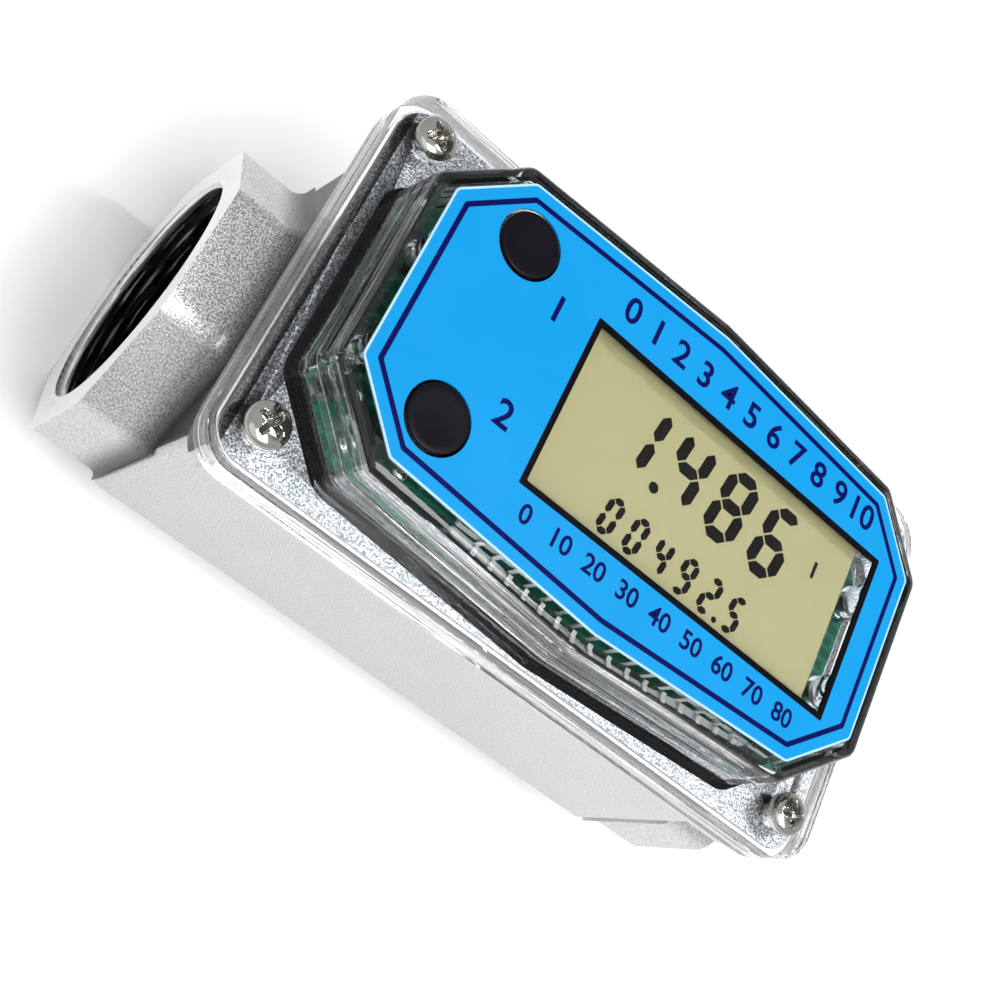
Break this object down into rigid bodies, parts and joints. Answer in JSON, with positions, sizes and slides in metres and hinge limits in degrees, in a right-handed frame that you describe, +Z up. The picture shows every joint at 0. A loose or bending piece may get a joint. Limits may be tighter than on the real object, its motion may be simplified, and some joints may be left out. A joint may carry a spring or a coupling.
{
  "type": "digital turbine flow meter",
  "caption": "In-line turbine flow meter: cast octagonal-ended body with threaded ports, clear raised head with blue face, display, push buttons and an inner bladed rotor.",
  "frame": {"origin": "under the middle of the cast body, on its flat foot", "axes": "+X along the flow from inlet to outlet, +Y across towards the far long side, +Z up through the face"},
  "size_m": [0.1, 0.0488, 0.0615],
  "materials": {
    "meter_body": "sand-cast, blasted",
    "clear_cover": "clear moulded plastic",
    "cover_gasket": "matt black rubber",
    "cover_screws": "nickel plated",
    "face_label": "blue printed overlay with a navy line",
    "push_button": "smooth black rubber",
    "switch_plunger": "moulded grey plastic",
    "switch_body": "moulded black plastic",
    "lcd_panel": "tan display glass",
    "metal_contacts": "tinned metal",
    "main_board": "green solder mask",
    "chip_plastic": "moulded black plastic",
    "chip_ceramic": "tan ceramic",
    "holder_plastic": "moulded black plastic",
    "cell_jacket": "plain printed jacket",
    "steel": "bright steel",
    "bushing_bronze": "sintered bronze",
    "rotor_plastic": "off-white acetal",
    "washer_plastic": "ivory low-friction plastic",
    "straightener_plastic": "dark grey acetal",
    "magnet": "dark plated magnet"
  },
  "bodies": {
    "meter": {"meter_body": "meter_body", "clear_cover": "clear_cover", "cover_gasket": "cover_gasket", "cover_screws": "cover_screws", "face_label": "face_label", "switch_bodies": "switch_body", "lcd_panel": "lcd_panel", "lcd_pins": "metal_contacts", "main_board": "main_board", "processor_chip": "chip_plastic", "crystal_can": "metal_contacts", "chip_capacitors": "chip_ceramic", "filter_capacitor": "chip_plastic", "hall_sensor": "chip_plastic", "board_screws": "steel", "battery_holder": "holder_plastic", "battery_cells": "cell_jacket", "battery_springs": "metal_contacts", "contact_strips": "metal_contacts", "rotor_shaft": "steel", "thrust_washers": "washer_plastic", "inlet_straightener": "straightener_plastic", "outlet_straightener": "straightener_plastic", "retaining_rings": "steel"},
    "rotor": {"turbine_rotor": "rotor_plastic", "rotor_magnets": "magnet", "rotor_bushings": "bushing_bronze"},
    "calibrate_key": {"calibrate_button": "push_button", "calibrate_plunger": "switch_plunger"},
    "display_key": {"display_button": "push_button", "display_plunger": "switch_plunger"}
  },
  "joints": [
    {"name": "rotor_spin", "type": "hinge", "parent": "meter", "child": "rotor", "pos_m": [0, 0, 0.019], "axis": [1, 0, 0], "continuous": true},
    {"name": "calibrate_press", "type": "slide", "parent": "meter", "child": "calibrate_key", "axis": [0, 0, -1], "range_m": [0, 0.0005], "stiffness_N_per_m": 2500},
    {"name": "display_press", "type": "slide", "parent": "meter", "child": "display_key", "axis": [0, 0, -1], "range_m": [0, 0.0005], "stiffness_N_per_m": 2500}
  ]
}
